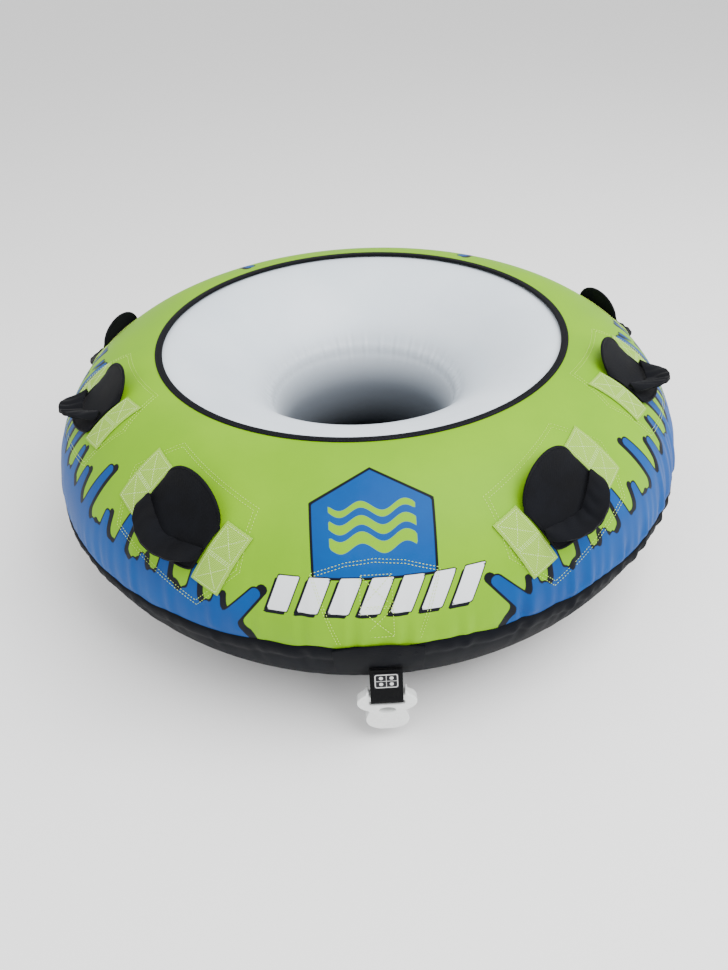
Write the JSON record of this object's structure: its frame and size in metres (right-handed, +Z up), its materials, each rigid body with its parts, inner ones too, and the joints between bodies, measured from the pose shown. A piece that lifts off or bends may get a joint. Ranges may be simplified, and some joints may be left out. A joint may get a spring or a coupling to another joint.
{
  "type": "towable tube",
  "caption": "Round inflatable towable tube: bladder in a sewn cover with an open seat well, padded hand grips in curved guards, and a tow strap with a rope connector.",
  "frame": {"origin": "centre of the floor panel's underside, where the tube's axis meets the ground", "axes": "+Z up along the tube's axis; the tow point faces -Y; +X is to the right of someone who looks at the tow point"},
  "size_m": [1.178, 1.1901, 0.4484],
  "materials": {
    "white_pvc": "satin welded PVC film",
    "printed_nylon": "lime coated nylon with printed decoration",
    "black_nylon": "gathered black coated nylon",
    "black_binding": "folded black binding tape",
    "lime_webbing": "lime webbing with pale cross stitching",
    "black_neoprene": "nylon-faced neoprene",
    "black_webbing": "woven black webbing",
    "white_backing": "plain reinforcement cloth",
    "label_print": "woven label with a pale frame",
    "grey_metal": "satin",
    "white_plastic": "translucent white moulded plastic"
  },
  "bodies": {
    "tube": {"bladder": "white_pvc", "cover_skirt": "black_nylon", "cover_top": "printed_nylon", "drain_grommet_1": "grey_metal", "drain_grommet_2": "grey_metal", "drain_grommet_3": "grey_metal", "drain_grommet_4": "grey_metal", "floor_panel": "black_nylon", "handle_patch_front_left": "white_backing", "handle_patch_front_right": "white_backing", "handle_patch_rear_left": "white_backing", "handle_patch_rear_right": "white_backing", "handle_patch_side_left": "white_backing", "handle_patch_side_right": "white_backing", "hem_binding": "black_binding", "knuckle_guard_front_left": "black_neoprene", "knuckle_guard_front_right": "black_neoprene", "knuckle_guard_rear_left": "black_neoprene", "knuckle_guard_rear_right": "black_neoprene", "knuckle_guard_side_left": "black_neoprene", "knuckle_guard_side_right": "black_neoprene", "tab_far_front_left": "lime_webbing", "tab_far_front_right": "lime_webbing", "tab_far_rear_left": "lime_webbing", "tab_far_rear_right": "lime_webbing", "tab_far_side_left": "lime_webbing", "tab_far_side_right": "lime_webbing", "tab_near_front_left": "lime_webbing", "tab_near_front_right": "lime_webbing", "tab_near_rear_left": "lime_webbing", "tab_near_rear_right": "lime_webbing", "tab_near_side_left": "lime_webbing", "tab_near_side_right": "lime_webbing", "tow_anchor_webbing": "black_webbing", "tow_patch": "black_nylon", "valve_body": "white_plastic", "valve_membrane": "black_neoprene", "valve_tether": "white_plastic", "zip_tape": "black_webbing", "zip_teeth": "black_webbing"},
    "grip_front_left": {"grip_pad_front_left": "black_neoprene", "grip_webbing_front_left": "black_webbing"},
    "grip_front_right": {"grip_pad_front_right": "black_neoprene", "grip_webbing_front_right": "black_webbing"},
    "grip_rear_left": {"grip_pad_rear_left": "black_neoprene", "grip_webbing_rear_left": "black_webbing"},
    "grip_rear_right": {"grip_pad_rear_right": "black_neoprene", "grip_webbing_rear_right": "black_webbing"},
    "grip_side_left": {"grip_pad_side_left": "black_neoprene", "grip_webbing_side_left": "black_webbing"},
    "grip_side_right": {"grip_pad_side_right": "black_neoprene", "grip_webbing_side_right": "black_webbing"},
    "tow_connector": {"tow_connector": "white_plastic"},
    "tow_strap": {"tow_label": "label_print", "tow_strap": "black_webbing"},
    "valve_cap": {"valve_cap": "white_plastic"},
    "valve_flap": {"valve_flap": "printed_nylon"},
    "zip_pull": {"zip_pull": "grey_metal"},
    "zip_slider": {"zip_slider": "grey_metal"}
  },
  "joints": [
    {"name": "grip_front_left_fold", "type": "hinge", "parent": "tube", "child": "grip_front_left", "pos_m": [-0.28719, -0.45087, 0.35831], "axis": [-0.6549, 0.7046, 0.2731], "range_deg": [0, 70]},
    {"name": "grip_front_right_fold", "type": "hinge", "parent": "tube", "child": "grip_front_right", "pos_m": [0.28719, -0.45087, 0.35831], "axis": [-0.6549, -0.7046, -0.2731], "range_deg": [0, 70]},
    {"name": "grip_side_left_fold", "type": "hinge", "parent": "tube", "child": "grip_side_left", "pos_m": [-0.46475, -0.16183, 0.39745], "axis": [-0.4377, 0.8956, -0.079], "range_deg": [0, 70]},
    {"name": "grip_side_right_fold", "type": "hinge", "parent": "tube", "child": "grip_side_right", "pos_m": [0.46475, -0.16183, 0.39745], "axis": [-0.4377, -0.8956, 0.079], "range_deg": [0, 70]},
    {"name": "grip_rear_left_fold", "type": "hinge", "parent": "tube", "child": "grip_rear_left", "pos_m": [-0.52462, 0.21196, 0.31527], "axis": [0.3746, 0.9272, 0], "range_deg": [0, 70]},
    {"name": "grip_rear_right_fold", "type": "hinge", "parent": "tube", "child": "grip_rear_right", "pos_m": [0.52462, 0.21196, 0.31527], "axis": [0.3746, -0.9272, 0], "range_deg": [0, 70]},
    {"name": "tow_strap_swing", "type": "hinge", "parent": "tube", "child": "tow_strap", "pos_m": [0.009, -0.58452, 0.16118], "axis": [-1, 0, 0], "range_deg": [-5, 90]},
    {"name": "tow_connector_swing", "type": "hinge", "parent": "tow_strap", "child": "tow_connector", "pos_m": [0.009, -0.58452, 0.10118], "axis": [-1, 0, 0], "range_deg": [-45, 85]},
    {"name": "valve_cap_turn", "type": "hinge", "parent": "tube", "child": "valve_cap", "pos_m": [0, 0.55586, 0.31377], "axis": [0, 0.8735, 0.4869], "range_deg": [0, 90]},
    {"name": "valve_flap_lift", "type": "hinge", "parent": "tube", "child": "valve_flap", "pos_m": [0, 0.53443, 0.35659], "axis": [1, 0, 0], "range_deg": [0, 110]},
    {"name": "zip_slider_run", "type": "hinge", "parent": "tube", "child": "zip_slider", "pos_m": [0, 0, 0.211], "axis": [0, 0, 1], "range_deg": [0, 50]},
    {"name": "zip_pull_swing", "type": "hinge", "parent": "zip_slider", "child": "zip_pull", "pos_m": [0.26276, 0.53874, 0.215], "axis": [0.8988, -0.4384, 0], "range_deg": [0, 140]}
  ]
}
